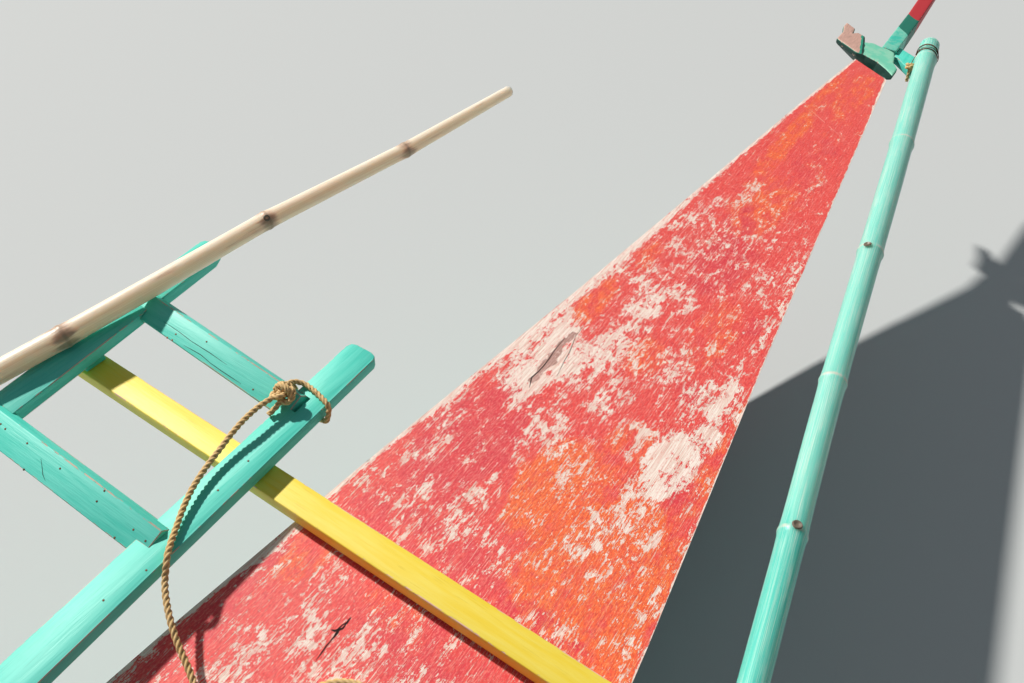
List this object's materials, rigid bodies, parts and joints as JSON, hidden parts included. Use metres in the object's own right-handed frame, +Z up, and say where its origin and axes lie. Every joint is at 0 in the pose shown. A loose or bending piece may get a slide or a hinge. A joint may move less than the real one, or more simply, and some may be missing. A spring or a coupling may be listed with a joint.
{
  "type": "outrigger canoe",
  "caption": "Wooden double-outrigger motor canoe afloat, with red decks, bamboo floats and poles, a stowed boarding ladder, propeller and rudder.",
  "frame": {"origin": "on the waterline under the middle of the hull, on its centre line", "axes": "+X forward to the bow, +Y to port, +Z up; the water's surface is the plane Z = 0"},
  "size_m": [11.663, 5.2062, 1.333],
  "materials": {
    "deck_red": "brushed red paint worn through to pale wood",
    "hull_paint": "teal green paint",
    "keel_paint": "dark red bottom paint",
    "teal_paint": "weathered teal green paint",
    "yellow_paint": "yellow paint, worn at the arrises",
    "bamboo": "bare weathered bamboo",
    "bamboo_teal": "bamboo painted pale teal",
    "bare_wood": "oiled wood",
    "rope": "three-strand laid rope",
    "engine_paint": "dull green engine paint",
    "bronze": "dull bronze",
    "steel": "galvanised steel"
  },
  "bodies": {
    "hull": {"keel_log": "keel_paint", "side_port": "hull_paint", "side_starboard": "hull_paint", "stem_block": "hull_paint", "stern_block": "hull_paint", "foredeck": "deck_red", "foredeck_tip": "deck_red", "aft_deck": "deck_red", "gunwale_port": "yellow_paint", "gunwale_starboard": "yellow_paint", "bulkhead_front": "hull_paint", "bulkhead_aft": "hull_paint", "floor_boards": "bare_wood", "thwart_1": "bare_wood", "thwart_2": "bare_wood", "thwart_3": "bare_wood", "engine": "engine_paint", "engine_bearer_port": "bare_wood", "engine_bearer_starboard": "bare_wood", "stern_tube": "bronze", "shaft_strut": "bronze", "rudder_bracket_top": "steel", "rudder_bracket_low": "steel", "stem_head": "teal_paint", "bow_cleat": "teal_paint", "prow_beak": "teal_paint", "bow_bracket": "teal_paint", "float_port": "bamboo", "float_starboard": "bamboo", "boom_front": "bamboo", "boom_middle": "bamboo", "boom_aft": "bamboo", "cross_beam_front": "yellow_paint", "cross_beam_aft": "yellow_paint", "ladder_rail_inner": "teal_paint", "ladder_rail_outer": "teal_paint", "tread_1": "teal_paint", "tread_2": "teal_paint", "tread_3": "teal_paint", "tread_4": "teal_paint", "tread_5": "teal_paint", "tread_6": "teal_paint", "bamboo_pole": "bamboo", "bamboo_rail": "bamboo_teal", "rope_hitch": "rope", "rope": "rope", "rope_coil": "rope", "rope_end": "rope"},
    "drive": {"propeller_shaft": "steel", "propeller": "bronze"},
    "rudder": {"rudder_stock": "steel", "rudder_blade": "hull_paint", "tiller": "bare_wood"}
  },
  "joints": [
    {"name": "propeller_spin", "type": "hinge", "parent": "hull", "child": "drive", "pos_m": [-2.403, 0, -0.02], "axis": [-0.9906, 0, -0.1365], "continuous": true},
    {"name": "rudder_turn", "type": "hinge", "parent": "hull", "child": "rudder", "pos_m": [-5.06, 0, 0], "axis": [0, 0, 1], "range_deg": [-35, 35]}
  ]
}
